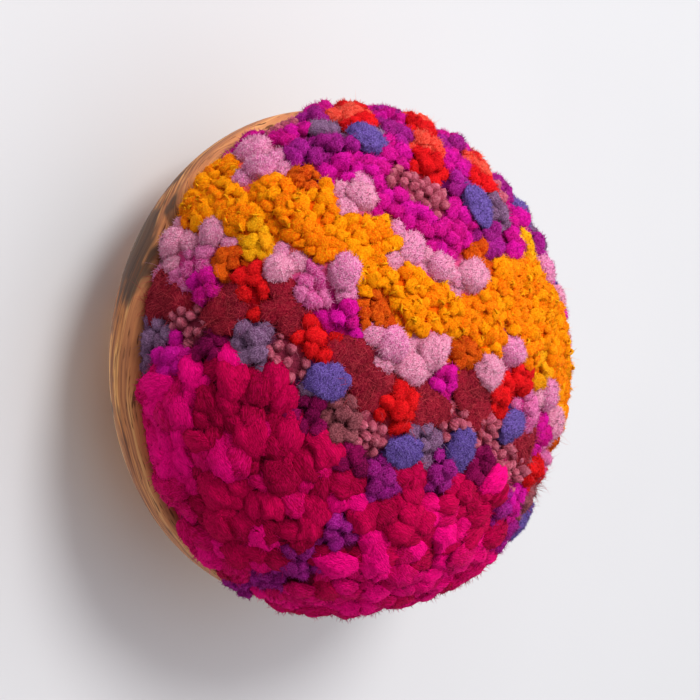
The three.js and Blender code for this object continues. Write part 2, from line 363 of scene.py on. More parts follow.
# The ground takes each yarn's deep shade colour: painted shade between the tufts.
dye = node(tree, "Attribute", attribute_name="ground_shade_colour").outputs["Color"]
linted = node(tree, "HueSaturation", {"Value": math_node(tree, "ADD", lint, 0.9), "Color": dye})
napped = node(tree, "Bump", {"Height": lint, "Strength": LINT_RELIEF, "Distance": LINT_DEPTH})
finish = tree.nodes["Principled BSDF"]
tree.links.new(linted.outputs["Color"], finish.inputs["Base Color"])
tree.links.new(napped.outputs["Normal"], finish.inputs["Normal"])
finish.inputs["Roughness"].default_value = CLOTH_ROUGHNESS
finish.inputs["Specular IOR Level"].default_value = CLOTH_SHINE
ground.data.materials.clear()
ground.data.materials.append(ground_wool)
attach(ground, "root")
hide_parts("punched_dome")

# Cut-pile mounds in two pinks and pads in lavender: bunches of yarn punched close together and shorn,
# so each is a velvety cushion of fibre ends. One stands on each lump of its band, smaller ones between.
SEED = 20
CANDIDATES = 130000
PILE_CLEAR = 0.0008
UV_MAP = "OFBake"
LIE = "lie"
EASE = "ease"
# Half of the room that each head takes. The broad ones stand on the lumps, the rest between them.
BROAD_GAP = {"pink": 0.0034, "lavender": 0.0046}
HALF_GAP = {
    "orange": 0.00140, "gold": 0.00150, "rust": 0.00150, "pink": 0.00225, "mauve": 0.00190,
    "magenta": 0.00185, "red": 0.00185, "coral": 0.00185, "brick": 0.00170, "dusty": 0.00185,
    "taupe": 0.00180, "rose": 0.00142, "purple": 0.00185, "plum": 0.00185, "crimson": 0.00238,
}
GAP_SPREAD = (0.9, 1.12)
BETWEEN = {"lavender": "dusty"}
# How far a fuzzy surface is shaded as if it faced straight out of the dome: its fibres pass the light on.
HEAD_EASE, FIBRE_EASE = 0.7, 1.2
# A head's shade spreads a little over its width, and more from fibre to fibre.
SHADE_WIDTH, SHADE_SPREAD = 0.012, 0.14
MM_PER_M = 1000
LIE_RANGE = 500
OPEN_SIDE = -0.2
FIBRE_TAPER = 0.5
Pile = collections.namedtuple("Pile", "points faces uv lie run ease")
rng = np.random.default_rng(SEED)


def unit(vectors):
    """The same ways, each one long."""
    return vectors / np.maximum(np.linalg.norm(vectors, axis=-1, keepdims=True), 1e-12)


def dome_out(points):
    """The way straight out of the smooth dome at each point."""
    radius = np.hypot(points[:, 0], points[:, 2])
    front = np.maximum(-points[:, 1] - BOWL_DEPTH - OVERHANG, 0)
    out = (np.minimum(radius / DOME_RADIUS, 1.2) ** (DOME_FULLNESS - 1)) / DOME_RADIUS
    forward = (front / DOME_RISE) ** (DOME_FULLNESS - 1) / DOME_RISE
    radial = points[:, [0, 2]] / np.maximum(radius, 1e-9)[:, None]
    return unit(np.stack([out * radial[:, 0], -forward, out * radial[:, 1]], 1))


def spread_over(corners, weight, count):
    """Places spread at random over triangles: which triangle each is on, and its shares of the corners."""
    chosen = rng.choice(len(corners), count, p=weight / weight.sum())
    mix = rng.random((count, 2))
    mix = np.where(mix.sum(1, keepdims=True) > 1, 1 - mix, mix)
    return chosen, np.stack([1 - mix.sum(1), mix[:, 0], mix[:, 1]], 1)[..., None]


def facing_of(corners):
    """The way that each triangle faces, and its area."""
    facing = np.cross(corners[:, 1] - corners[:, 0], corners[:, 2] - corners[:, 0])
    return unit(facing), np.linalg.norm(facing, axis=1) / 2


def set_apart(points, half_gaps, first_points, first_gaps):
    """Takes the points in turn, and keeps those that are clear of every one kept before."""
    total = len(points) + len(first_points)
    kept_at, kept_gap = np.empty((total, 3)), np.empty(total)
    count = len(first_points)
    kept_at[:count], kept_gap[:count] = first_points, first_gaps
    kept = []
    for i, (point, gap) in enumerate(zip(points, half_gaps)):
        apart = ((kept_at[:count] - point) ** 2).sum(1)
        if (apart > (kept_gap[:count] + gap) ** 2).all():
            kept_at[count], kept_gap[count] = point, gap
            count += 1
            kept.append(i)
    return np.array(kept)


solid_points = points_of(solid.data)
solid_faces = np.array([tuple(face.vertices) for face in solid.data.polygons])
solid_corners = solid_points[solid_faces]
solid_facing, solid_area = facing_of(solid_corners)
shown = -solid_corners[:, :, 1].max(1) > BOWL_DEPTH + PILE_CLEAR
chosen, shares = spread_over(solid_corners, solid_area * shown, CANDIDATES)
candidate_at = (solid_corners[chosen] * shares).sum(1)
surface = BVHTree.FromPolygons(solid_points.tolist(), solid_faces.tolist())
broad = np.array([i for i in range(LUMP_COUNT) if lump_yarn[i] in BROAD_GAP])
broad_at = np.array([list(surface.find_nearest(Vector(at))[0]) for at in lump_at[broad]])
broad_gap = np.array([BROAD_GAP[name] for name in lump_yarn[broad]])
own_yarn = np.array([BETWEEN.get(name, name) for name in lump_yarn[nearest_lump(candidate_at)]])
own_gap = np.array([HALF_GAP[name] for name in own_yarn]) * rng.uniform(*GAP_SPREAD, CANDIDATES)
kept = set_apart(candidate_at, own_gap, broad_at, broad_gap)
head_at, head_yarn, head_facing = candidate_at[kept], own_yarn[kept], solid_facing[chosen[kept]]


def stand(points, facing, lean, face_share=0.5):
    """For heads at these points: the way each stands, and a way along it, turned at random."""
    up = unit(dome_out(points) * (1 - face_share) + facing * face_share
              + rng.normal(0, lean, (len(points), 3)))
    return up, unit(np.cross(up, rng.normal(0, 1, (len(points), 3))))


def shaped_head(detail, size, roughen, seed, smooth=0.4, droop=0.0):
    """Models one head of yarn: a ball roughened, drawn out to size and bent down at its ends."""
    bpy.ops.object.select_all(action="DESELECT")
    bpy.ops.mesh.primitive_ico_sphere_add(subdivisions=detail, radius=1)
    head = bpy.context.object
    bpy.ops.object.mode_set(mode="EDIT")
    bpy.ops.mesh.select_all(action="SELECT")
    bpy.ops.transform.vertex_random(offset=roughen, uniform=0.3, normal=0.7, seed=seed)
    bpy.ops.mesh.vertices_smooth(factor=smooth, repeat=1)
    bpy.ops.transform.resize(value=size, center_override=(0, 0, 0))
    bpy.ops.object.mode_set(mode="OBJECT")
    points = points_of(head.data)
    points[:, 2] -= droop * points[:, 0] ** 2 / size[0]
    faces = np.array([tuple(face.vertices) for face in head.data.polygons])
    bpy.data.objects.remove(head)
    return points, faces


def punched(heads, at, up, along, size, shade, heights=(0.03, 0.60), ease=HEAD_EASE):
    """Copies of the heads, one at each place. U is a head's shade of dye, and V the height in it, which
    the wool turns into painted shade low down and painted light on top.
    """
    side = np.cross(up, along)
    parts = []
    for k, (points, faces) in enumerate(heads):
        mine = np.arange(k, len(at), len(heads))
        local = points[None] * size[mine, None, None]
        placed = (at[mine, None] + local[..., :1] * along[mine, None] + local[..., 1:2] * side[mine, None]
                  + local[..., 2:] * up[mine, None])
        low, high = points[:, 2].min(), points[:, 2].max()
        height = np.interp(points[:, 2], (low, high), heights)
        wide = SHADE_WIDTH * points[:, 0] / np.abs(points[:, 0]).max()
        u = np.clip(shade[mine, None], 0.02, 0.98) + wide[None]
        uv = np.stack([u, np.broadcast_to(height, u.shape)], -1)
        lie = MM_PER_M * local + rng.uniform(0, LIE_RANGE, (len(mine), 1, 3))
        run = np.broadcast_to(along[mine, None], placed.shape)
        eased = np.broadcast_to(ease * up[mine, None], placed.shape)
        steps = len(points) * np.arange(len(mine))
        cells = (faces[None] + steps[:, None, None]).reshape(-1, 3)
        parts.append(Pile(placed.reshape(-1, 3), cells, uv.reshape(-1, 2), lie.reshape(-1, 3),
                          run.reshape(-1, 3), eased.reshape(-1, 3)))
    return gathered(parts)


def gathered(parts):
    """Several piles as one."""
    starts = np.cumsum([0] + [len(part.points) for part in parts[:-1]])
    faces = np.concatenate([part.faces + start for part, start in zip(parts, starts)])
    joined_up = {key: np.concatenate([getattr(part, key) for part in parts])
                 for key in ("points", "uv", "lie", "run", "ease")}
    return Pile(faces=faces, **joined_up)


# Paler lifts a fibre's height from root to tip, so the wool gives it painted light towards its tip.
def fibres(pile, count, length, width, lean, comb=0.0, bend=0.0, rings=1, paler=(0.0, 0.36),
           speckle=0.06):
    """Fibres that stand off a pile, or lie along its heads by the share that they are combed."""
    corners = pile.points[pile.faces]
    facing, area = facing_of(corners)
    open_side = (facing * dome_out(corners.mean(1))).sum(1) > OPEN_SIDE
    chosen, shares = spread_over(corners, area * open_side, count)
    root = (corners[chosen] * shares).sum(1)
    root_uv = (pile.uv[pile.faces[chosen]] * shares).sum(1)
    root_lie = (pile.lie[pile.faces[chosen]] * shares).sum(1)
    ease = FIBRE_EASE * (facing[chosen] + pile.ease[pile.faces[chosen, 0]])
    run = pile.run[pile.faces[chosen, 0]] * rng.choice([-1, 1], (count, 1))
    way = unit(facing[chosen] * (1 - comb) + run * comb + rng.normal(0, lean, (count, 3)))
    side = unit(np.cross(way, rng.normal(0, 1, (count, 3))))
    other = np.cross(way, side)
    long = rng.uniform(*length, (count, 1))
    curl = side * rng.normal(0, bend, (count, 1)) + other * rng.normal(0, bend, (count, 1))
    root = root - way * width / 2
    shade = np.clip(root_uv[:, 0] + rng.normal(0, SHADE_SPREAD, count), 0.03, 0.97)
    low = root_uv[:, 1] + rng.normal(0, speckle, count)
    points, uv = [], []
    for ring in range(rings):
        t = ring / rings
        middle = root + long * (way * t + curl * t * t)
        for k in range(3):
            turn = 2 * math.pi * k / 3
            half = width / 2 * (1 - FIBRE_TAPER * t)
            points.append(middle + half * (math.cos(turn) * side + math.sin(turn) * other))
            height = low + paler[0] * (1 - t) + paler[1] * t
            uv.append(np.stack([shade + 0.01 * (k - 1), height], 1))
    points.append(root + long * (way + curl))
    uv.append(np.stack([shade, low + paler[1]], 1))
    cells = [(0, 2, 1)]
    for ring in range(rings - 1):
        for k in range(3):
            a, b = 3 * ring + k, 3 * ring + (k + 1) % 3
            cells += [(a, b, b + 3), (a, b + 3, a + 3)]
    last = 3 * (rings - 1)
    cells += [(last + k, last + (k + 1) % 3, last + 3) for k in range(3)]
    size = len(points)
    faces = (np.array(cells)[None] + size * np.arange(count)[:, None, None]).reshape(-1, 3)
    uv = np.clip(np.stack(uv, 1), 0.01, 0.99).reshape(-1, 2)
    return Pile(np.stack(points, 1).reshape(-1, 3), faces, uv, np.repeat(root_lie, size, 0),
                np.repeat(run, size, 0), np.repeat(ease, size, 0))


def punched_piece(name, pile, hairs, material):
    """One piece: a yarn's heads, smooth, and all the fibres that stand off them."""
    whole = gathered([pile, *hairs])
    mesh = bpy.data.meshes.new(name)
    mesh.vertices.add(len(whole.points))
    mesh.vertices.foreach_set("co", whole.points.astype(np.float32).ravel())
    mesh.loops.add(whole.faces.size)
    mesh.loops.foreach_set("vertex_index", whole.faces.astype(np.int32).ravel())
    mesh.polygons.add(len(whole.faces))
    mesh.polygons.foreach_set("loop_start", np.arange(0, whole.faces.size, 3, dtype=np.int32))
    mesh.polygons.foreach_set("use_smooth", np.arange(len(whole.faces)) < len(pile.faces))
    laid = mesh.uv_layers.new(name=UV_MAP)
    laid.uv.foreach_set("vector", whole.uv[whole.faces.ravel()].astype(np.float32).ravel())
    for key, values in ((LIE, whole.lie), (EASE, whole.ease)):
        kept_on = mesh.attributes.new(key, "FLOAT_VECTOR", "POINT")
        kept_on.data.foreach_set("vector", values.astype(np.float32).ravel())
    mesh.update(calc_edges=True)
    mesh.materials.append(material)
    piece = bpy.data.objects.new(name, mesh)
    bpy.context.scene.collection.objects.link(piece)
    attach(piece, "root")
    return piece


# Dyed wool: heights in a head below which it is painted in shade and above which it is painted in light,
# shares of the deep shade and the lit tips colour in the fibre streaks, and the turns of the plies, in
# radians to the millimetre, whose stripes darken and lighten the colour as painted shade between the
# plies.
PAINTED_SHADE_BELOW, PAINTED_LIGHT_ABOVE, PAINTED_LIGHT_SHARE = 0.24, 0.60, 0.75
DARK_STREAK, BRIGHT_STREAK = 0.38, 0.50
STREAK_LOW, STREAK_HIGH = 0.34, 0.66
CLOUD_SCALE = 110.0
PLY_TURN, PLY_SHADE = 3.4, 0.18
WOOL_SMOOTHEST, WOOL_ROUGHEST = 0.75, 1.0
WOOL_RELIEF, WOOL_DEPTH = 0.6, 0.0003
SHEEN, SHEEN_ROUGHNESS = 0.03, 0.5


def wool_shades():
    """Node group for dyed wool, heathered along its fibres, with painted shade down in the pile and
    painted light at its tips.
    """
    group = bpy.data.node_groups.new("wool_shades", "ShaderNodeTree")
    for name in ("Deep Shade", "Body", "Second", "Lit Tips"):
        group.interface.new_socket(name, in_out="INPUT", socket_type="NodeSocketColor")
    for name in ("Fibre Size", "Streak", "Heather", "Twist", "Relief"):
        group.interface.new_socket(name, in_out="INPUT", socket_type="NodeSocketFloat")
    group.interface.new_socket("Colour", in_out="OUTPUT", socket_type="NodeSocketColor")
    group.interface.new_socket("Roughness", in_out="OUTPUT", socket_type="NodeSocketFloat")
    group.interface.new_socket("Normal", in_out="OUTPUT", socket_type="NodeSocketVector")
    given = group.nodes.new("NodeGroupInput").outputs
    result = group.nodes.new("NodeGroupOutput").inputs
    laid = node(group, "UVMap", uv_map=UV_MAP).outputs["UV"]
    shade = node(group, "SeparateXYZ", {"Vector": laid}).outputs
    lie = node(group, "Attribute", attribute_name=LIE).outputs["Vector"]
    stretch = node(group, "CombineXYZ", {"X": given["Streak"], "Y": 1.0, "Z": 1.0}).outputs["Vector"]
    drawn = node(group, "VectorMath", {0: lie, 1: stretch}, operation="MULTIPLY").outputs["Vector"]
    fineness = math_node(group, "DIVIDE", 1.0, given["Fibre Size"])
    fibre = node(group, "TexNoise", {"Vector": drawn, "Scale": fineness, "Detail": 2.0, "Roughness": 0.6})
    grain = fade(group, fibre.outputs["Fac"], STREAK_LOW, STREAK_HIGH)
    place = node(group, "TexCoord").outputs["Object"]
    cloudy = node(group, "TexNoise", {"Vector": place, "Scale": CLOUD_SCALE, "Detail": 3.0}).outputs["Fac"]
    share = math_node(group, "ADD", shade["X"], math_node(group, "SUBTRACT", cloudy, 0.5))
    dye = mixed(group, fade(group, share, 0.2, 0.8), given["Body"], given["Second"])
    # Fibre streaks: the darker mix in the deep shade colour and the paler the lit tips, so they are partly
    # the fibres' own tone, partly painted shade and light.
    shaded = mixed(group, DARK_STREAK, dye, given["Deep Shade"])
    bright = mixed(group, BRIGHT_STREAK, dye, given["Lit Tips"])
    heathered = mixed(group, given["Heather"], dye, mixed(group, grain, shaded, bright))
    # Painted shade: low in the pile the colour sinks to the deep shade colour.
    sunk = mixed(group, fade(group, shade["Y"], 0.0, PAINTED_SHADE_BELOW), given["Deep Shade"], heathered)
    # Painted light: high in the pile the colour pales toward the lit tips.
    lit = math_node(group, "MULTIPLY", fade(group, shade["Y"], PAINTED_LIGHT_ABOVE, 1.0), PAINTED_LIGHT_SHARE)
    tipped = mixed(group, lit, sunk, given["Lit Tips"])
    # Ply stripes: the colour darkens and lightens along the twist, painted shade in the grooves between
    # the plies.
    apart = node(group, "SeparateXYZ", {"Vector": lie}).outputs
    slant = math_node(group, "ADD", apart["X"], math_node(group, "ADD", apart["Y"], apart["Z"]))
    plies = math_node(group, "SINE", math_node(group, "MULTIPLY", slant, PLY_TURN))
    twisted = math_node(group, "MULTIPLY", plies, given["Twist"])
    value = math_node(group, "ADD", math_node(group, "MULTIPLY", twisted, PLY_SHADE), 1.0)
    plied = node(group, "HueSaturation", {"Value": value, "Color": tipped}).outputs["Color"]
    roughened = {"Value": fibre.outputs["Fac"], "To Min": WOOL_SMOOTHEST, "To Max": WOOL_ROUGHEST}
    rough = node(group, "MapRange", roughened)
    group.links.new(plied, result["Colour"])
    group.links.new(rough.outputs["Result"], result["Roughness"])
    facing = node(group, "NewGeometry").outputs["Normal"]
    ease = node(group, "Attribute", attribute_name=EASE).outputs["Vector"]
    eased = node(group, "VectorMath", {0: facing, 1: ease}, operation="ADD").outputs["Vector"]
    soft = node(group, "VectorMath", {0: eased}, operation="NORMALIZE").outputs["Vector"]
    height = math_node(group, "MULTIPLY", math_node(group, "ADD", grain, twisted), given["Relief"])
    relief = {"Height": height, "Normal": soft, "Strength": WOOL_RELIEF, "Distance": WOOL_DEPTH}
    group.links.new(node(group, "Bump", relief).outputs["Normal"], result["Normal"])
    return group


WOOL_SHADES = wool_shades()


def wool(name, yarn, body, second, lit_tips, fibre=0.35, streak=0.7, heather=0.8, twist=0.0, relief=1.0,
         shine=0.05):
    """Wool dyed in a body shade and a second one, with painted shade deep in its pile and painted light on
    its tips. Fibre is its streaks' width in mm.
    """
    material = bpy.data.materials.new(name)
    material.use_nodes = True
    tree = material.node_tree
    shades = tree.nodes.new("ShaderNodeGroup")
    shades.node_tree = WOOL_SHADES
    # The deep shade colour and the lit tips are painted shade and painted light.
    given = {"Deep Shade": PAINTED_SHADE_COLOURS[yarn], "Body": body, "Second": second, "Lit Tips": lit_tips,
             "Fibre Size": fibre, "Streak": streak, "Heather": heather, "Twist": twist,
             "Relief": relief}
    for socket, value in given.items():
        shades.inputs[socket].default_value = value
    finish = tree.nodes["Principled BSDF"]
    tree.links.new(shades.outputs["Colour"], finish.inputs["Base Color"])
    tree.links.new(shades.outputs["Roughness"], finish.inputs["Roughness"])
    tree.links.new(shades.outputs["Normal"], finish.inputs["Normal"])
    finish.inputs["Specular IOR Level"].default_value = shine
    finish.inputs["Sheen Weight"].default_value = SHEEN
    finish.inputs["Sheen Roughness"].default_value = SHEEN_ROUGHNESS
    finish.inputs["Sheen Tint"].default_value = lit_tips
    return material


MOUND_SIZE, MOUND_ROUGHEN, MOUND_LEAN, MOUND_SUNK = (0.0050, 0.0044, 0.0038), 0.16, 0.08, 0.0022
MOUND_SPREAD, SMALL_SPREAD = (0.92, 1.15), (0.66, 0.9)
MOUND_FIBRES, MOUND_STRAYS = 25000, 60
MOUND_FUZZ = dict(length=(0.0006, 0.0014), width=0.00026, lean=0.45, speckle=0.16)
LONG_STRAYS = dict(length=(0.003, 0.005), width=0.00008, lean=0.6, bend=0.5, rings=3)
pink_velvet = wool("pink_velvet", "pink", dyed(222, 122, 160), dyed(222, 100, 166), dyed(252, 206, 224),
                   streak=1.0)
mound_heads = [shaped_head(3, MOUND_SIZE, MOUND_ROUGHEN, seed) for seed in range(4)]
mine = lump_yarn[broad] == "pink"
between = head_yarn == "pink"
at = np.concatenate([broad_at[mine], head_at[between]])
size = np.concatenate([rng.uniform(*MOUND_SPREAD, mine.sum()),
                       rng.uniform(*SMALL_SPREAD, between.sum())])
up, along = stand(at, dome_out(at), MOUND_LEAN, 0.0)
pile = punched(mound_heads, at - up * MOUND_SUNK * size[:, None], up, along, size, rng.random(len(at)))
hairs = [fibres(pile, MOUND_FIBRES, **MOUND_FUZZ), fibres(pile, MOUND_STRAYS, **LONG_STRAYS)]
punched_piece("pink_mounds", pile, hairs, pink_velvet)

PAD_SIZE, PAD_ROUGHEN, PAD_SMOOTH = (0.0074, 0.0058, 0.0032), 0.26, 0.5
PAD_LEAN, PAD_SUNK, PAD_SPREAD = 0.06, 0.0018, (0.85, 1.1)
FIBRES_PER_PAD = 700
PAD_FUZZ = dict(length=(0.0007, 0.0013), width=0.00026, lean=0.45, speckle=0.18)
lavender_velvet = wool("lavender_velvet", "lavender", dyed(76, 48, 130), dyed(98, 66, 150),
                       dyed(150, 126, 206), streak=1.0)
pad_heads = [shaped_head(3, PAD_SIZE, PAD_ROUGHEN, seed, PAD_SMOOTH) for seed in range(4, 8)]
mine = lump_yarn[broad] == "lavender"
at = broad_at[mine]
up, along = stand(at, dome_out(at), PAD_LEAN, 0.0)
size = rng.uniform(*PAD_SPREAD, len(at))
pile = punched(pad_heads, at - up * PAD_SUNK, up, along, size, rng.random(len(at)))
hairs = [fibres(pile, FIBRES_PER_PAD * len(at), **PAD_FUZZ)]
punched_piece("lavender_pads", pile, hairs, lavender_velvet)

# Loop heads: round bobbles of wool where a loop stands out of the ground, in magentas, purples, reds and
# dusty shades, pressed against each other, each with a soft halo of fibre.
BOBBLE_SIZE, BOBBLE_ROUGHEN = (0.0031, 0.0026, 0.0024), 0.34
BOBBLE_LEAN, BOBBLE_SUNK, BOBBLE_SPREAD = 0.2, 0.0009, (0.82, 1.18)
FIBRES_PER_BOBBLE, BOBBLES_PER_STRAY = 90, 3
BOBBLE_FUZZ = dict(length=(0.0008, 0.0018), width=0.00022, lean=0.8, speckle=0.12)
FINE_STRAYS = dict(length=(0.002, 0.0038), width=0.00008, lean=0.7, bend=0.6, rings=3)
BOBBLE_WOOLS = {
    "magenta": wool("magenta_wool", "magenta", dyed(198, 0, 112), dyed(214, 0, 150), dyed(232, 44, 178)),
    "mauve": wool("mauve_wool", "mauve", dyed(214, 90, 152), dyed(204, 34, 132), dyed(244, 166, 208)),
    "purple": wool("purple_wool", "purple", dyed(140, 0, 102), dyed(164, 6, 130), dyed(200, 64, 172)),
    "plum": wool("plum_wool", "plum", dyed(96, 0, 48), dyed(132, 0, 68), dyed(172, 30, 108)),
    "dusty": wool("dusty_wool", "dusty", dyed(106, 58, 98), dyed(126, 84, 124), dyed(180, 144, 178)),
    "taupe": wool("taupe_wool", "taupe", dyed(128, 54, 66), dyed(152, 74, 86), dyed(192, 114, 122)),
    "red": wool("red_wool", "red", dyed(202, 0, 16), dyed(230, 6, 22), dyed(250, 48, 44)),
    "coral": wool("coral_wool", "coral", dyed(234, 26, 22), dyed(250, 66, 50), dyed(255, 132, 106)),
}
bobble_heads = [shaped_head(2, BOBBLE_SIZE, BOBBLE_ROUGHEN, seed) for seed in range(10, 17)]
for name, material in BOBBLE_WOOLS.items():
    mine = head_yarn == name
    at = head_at[mine]
    up, along = stand(at, head_facing[mine], BOBBLE_LEAN)
    size = rng.uniform(*BOBBLE_SPREAD, len(at))
    pile = punched(bobble_heads, at - up * BOBBLE_SUNK, up, along, size, rng.random(len(at)))
    hairs = [fibres(pile, FIBRES_PER_BOBBLE * len(at), **BOBBLE_FUZZ),
             fibres(pile, len(at) // BOBBLES_PER_STRAY, **FINE_STRAYS)]
    punched_piece(name + "_bobbles", pile, hairs, material)

# Nubs: small tight heads of smooth two-ply yarn in dusty rose, punched in clusters between the pads.
# Each is drawn up to a point that shines, with a painted highlight that pales the point, and has only a
# thin fuzz.
NUB_SIZE, NUB_ROUGHEN = (0.0018, 0.0016, 0.0024), 0.20
NUB_LEAN, NUB_SUNK, NUB_SPREAD = 0.3, 0.0006, (0.85, 1.2)
# The heights reach high in the pile, so each nub's point is painted pale: painted highlight.
NUB_HEIGHTS = (0.03, 0.80)
FIBRES_PER_NUB, NUBS_PER_STRAY = 30, 3
NUB_FUZZ = dict(length=(0.0005, 0.0012), width=0.00015, lean=0.6)
rose_ply = wool("rose_ply", "rose", dyed(152, 44, 70), dyed(178, 64, 92), dyed(230, 134, 154),
                streak=0.35, heather=0.6, twist=0.5, shine=0.22)
nub_heads = [shaped_head(2, NUB_SIZE, NUB_ROUGHEN, seed) for seed in range(20, 25)]
mine = head_yarn == "rose"
at = head_at[mine]
up, along = stand(at, head_facing[mine], NUB_LEAN)
size = rng.uniform(*NUB_SPREAD, len(at))
pile = punched(nub_heads, at - up * NUB_SUNK, up, along, size, rng.random(len(at)), NUB_HEIGHTS)
hairs = [fibres(pile, FIBRES_PER_NUB * len(at), **NUB_FUZZ),
         fibres(pile, len(at) // NUBS_PER_STRAY, **FINE_STRAYS)]
punched_piece("rose_nubs", pile, hairs, rose_ply)

# Curled pile: orange, gold and rust yarn that was cut and has curled up, felted into a close crumb, with
# fibres standing off it every way and, in the orange, tiny loops painted bright gold: partly their own
# paler colour, partly painted highlight on their tops.
CURL_SIZE, CURL_ROUGHEN = (0.0027, 0.0022, 0.0017), 0.46
CURL_LEAN, CURL_SUNK, CURL_SPREAD = 0.25, 0.0006, (0.75, 1.2)
FIBRES_PER_CURL, CURLS_PER_STRAY = 56, 2
CURL_FUZZ = dict(length=(0.0007, 0.0016), width=0.00022, lean=0.9, bend=0.2, speckle=0.12)
CURL_STRAYS = dict(length=(0.002, 0.004), width=0.00010, lean=0.8, bend=0.6, rings=3)
LOOPS_PER_TUFT = 0.35
# The loops' sides round the ring and round the strand, radius and half thickness.
LOOP_SHAPES = ((8, 3, 0.0009, 0.00036), (7, 3, 0.0007, 0.00034))
# The loops' heights sit high in the pile, so they take painted light and none of the painted shade.
LOOP_FACING, LOOP_LEAN, LOOP_SPREAD, LOOP_HEIGHTS = 0.6, 0.4, (0.8, 1.2), (0.40, 0.95)
CURL_WOOLS = {
    "orange": wool("orange_curls", "orange", dyed(244, 94, 0), dyed(253, 140, 0), dyed(255, 188, 20)),
    "gold": wool("gold_curls", "gold", dyed(244, 144, 0), dyed(250, 168, 2), dyed(255, 198, 40)),
    "rust": wool("rust_curls", "rust", dyed(196, 46, 0), dyed(216, 76, 2), dyed(240, 124, 34)),
}


def loop_head(around, through, radius, thickness):
    """Models one small standing loop of strand."""
    bpy.ops.object.select_all(action="DESELECT")
    bpy.ops.mesh.primitive_torus_add(major_segments=around, minor_segments=through, major_radius=radius,
                                     minor_radius=thickness, rotation=(math.pi / 2, 0, 0))
    loop = bpy.context.object
    bpy.ops.object.transform_apply(location=False, rotation=True, scale=False)
    bpy.ops.object.mode_set(mode="EDIT")
    bpy.ops.mesh.select_all(action="SELECT")
    bpy.ops.mesh.quads_convert_to_tris()
    bpy.ops.object.mode_set(mode="OBJECT")
    points = points_of(loop.data)
    faces = np.array([tuple(face.vertices) for face in loop.data.polygons])
    bpy.data.objects.remove(loop)
    return points, faces


curl_heads = [shaped_head(2, CURL_SIZE, CURL_ROUGHEN, seed) for seed in range(30, 37)]
tiny_loops = [loop_head(*shape) for shape in LOOP_SHAPES]
for name, material in CURL_WOOLS.items():
    mine = head_yarn == name
    at = head_at[mine]
    up, along = stand(at, head_facing[mine], CURL_LEAN)
    size = rng.uniform(*CURL_SPREAD, len(at))
    pile = punched(curl_heads, at - up * CURL_SUNK, up, along, size, rng.random(len(at)))
    if name == "orange":
        corners = pile.points[pile.faces]
        facing, area = facing_of(corners)
        outer = (facing * dome_out(corners.mean(1))).sum(1) > LOOP_FACING
        chosen, shares = spread_over(corners, area * outer, int(LOOPS_PER_TUFT * len(at)))
        loop_at = (corners[chosen] * shares).sum(1)
        up, along = stand(loop_at, facing[chosen], LOOP_LEAN)
        size = rng.uniform(*LOOP_SPREAD, len(chosen))
        loops = punched(tiny_loops, loop_at, up, along, size, rng.random(len(chosen)), LOOP_HEIGHTS)
        pile = gathered([pile, loops])
    hairs = [fibres(pile, FIBRES_PER_CURL * len(at), **CURL_FUZZ),
             fibres(pile, len(at) // CURLS_PER_STRAY, **CURL_STRAYS)]
    punched_piece(name + "_tufts", pile, hairs, material)

# Felted nap: brick wool, punched low and then brushed until it felts. It is a flat uneven ground under
# a web of paler hairs that lie along it.
FELT_SIZE, FELT_ROUGHEN = (0.0046, 0.0040, 0.0017), 0.16
FELT_LEAN, FELT_SUNK, FELT_SPREAD = 0.08, 0.0006, (0.85, 1.2)
FIBRES_PER_FELT, HAIRS_PER_FELT = 90, 20
FELT_FUZZ = dict(length=(0.0008, 0.0018), width=0.00020, lean=0.9, bend=0.3, paler=(0.0, 0.20),
                 speckle=0.12)
FELT_WEB = dict(length=(0.0025, 0.0045), width=0.00016, lean=0.35, comb=0.65, bend=0.8, rings=3,
                paler=(0.35, 0.55))
brick_felt = wool("brick_felt", "brick", dyed(116, 0, 32), dyed(140, 2, 38), dyed(200, 66, 76),
                  heather=0.7)
felt_heads = [shaped_head(2, FELT_SIZE, FELT_ROUGHEN, seed) for seed in range(40, 45)]
mine = head_yarn == "brick"
at = head_at[mine]
up, along = stand(at, head_facing[mine], FELT_LEAN)
size = rng.uniform(*FELT_SPREAD, len(at))
pile = punched(felt_heads, at - up * FELT_SUNK, up, along, size, rng.random(len(at)))
hairs = [fibres(pile, FIBRES_PER_FELT * len(at), **FELT_FUZZ),
         fibres(pile, HAIRS_PER_FELT * len(at), **FELT_WEB)]
punched_piece("brick_nap", pile, hairs, brick_felt)

# Roving: thick unspun wool in crimson and hot pink, punched in soft loops that lie over each other like
# scales across the lower part of the dome. Most of the hot pink is along the rim and the underside, where
# its share is also raised as painted light on the dim underside, and some loops of both are drawn down
# between the rest and painted darker, as painted shade. Each loop is painted darker at its foot and
# lighter on its top: painted shade and light.
LOCK_SIZE, LOCK_ROUGHEN, LOCK_SMOOTH, LOCK_DROOP = (0.0068, 0.0042, 0.0028), 0.30, 0.5, 0.28
LOCK_LEAN, LOCK_FACING, LOCK_TURN = 0.12, 0.35, 0.5
LOCK_SPREAD, LOCK_EASE = (0.75, 1.25), 1.0
# How deep the sunk and the standing loops sit, and the heights in the pile that set their painted shade
# and light.
SUNK_DEPTH, SUNK_HEIGHTS = 0.0022, (-0.20, 0.40)
STAND_DEPTH, STAND_HEIGHTS = 0.0010, (-0.25, 0.74)
SUNK_SHARE = 0.35
HOT_INSIDE, HOT_AT_RIM = 0.20, 0.97
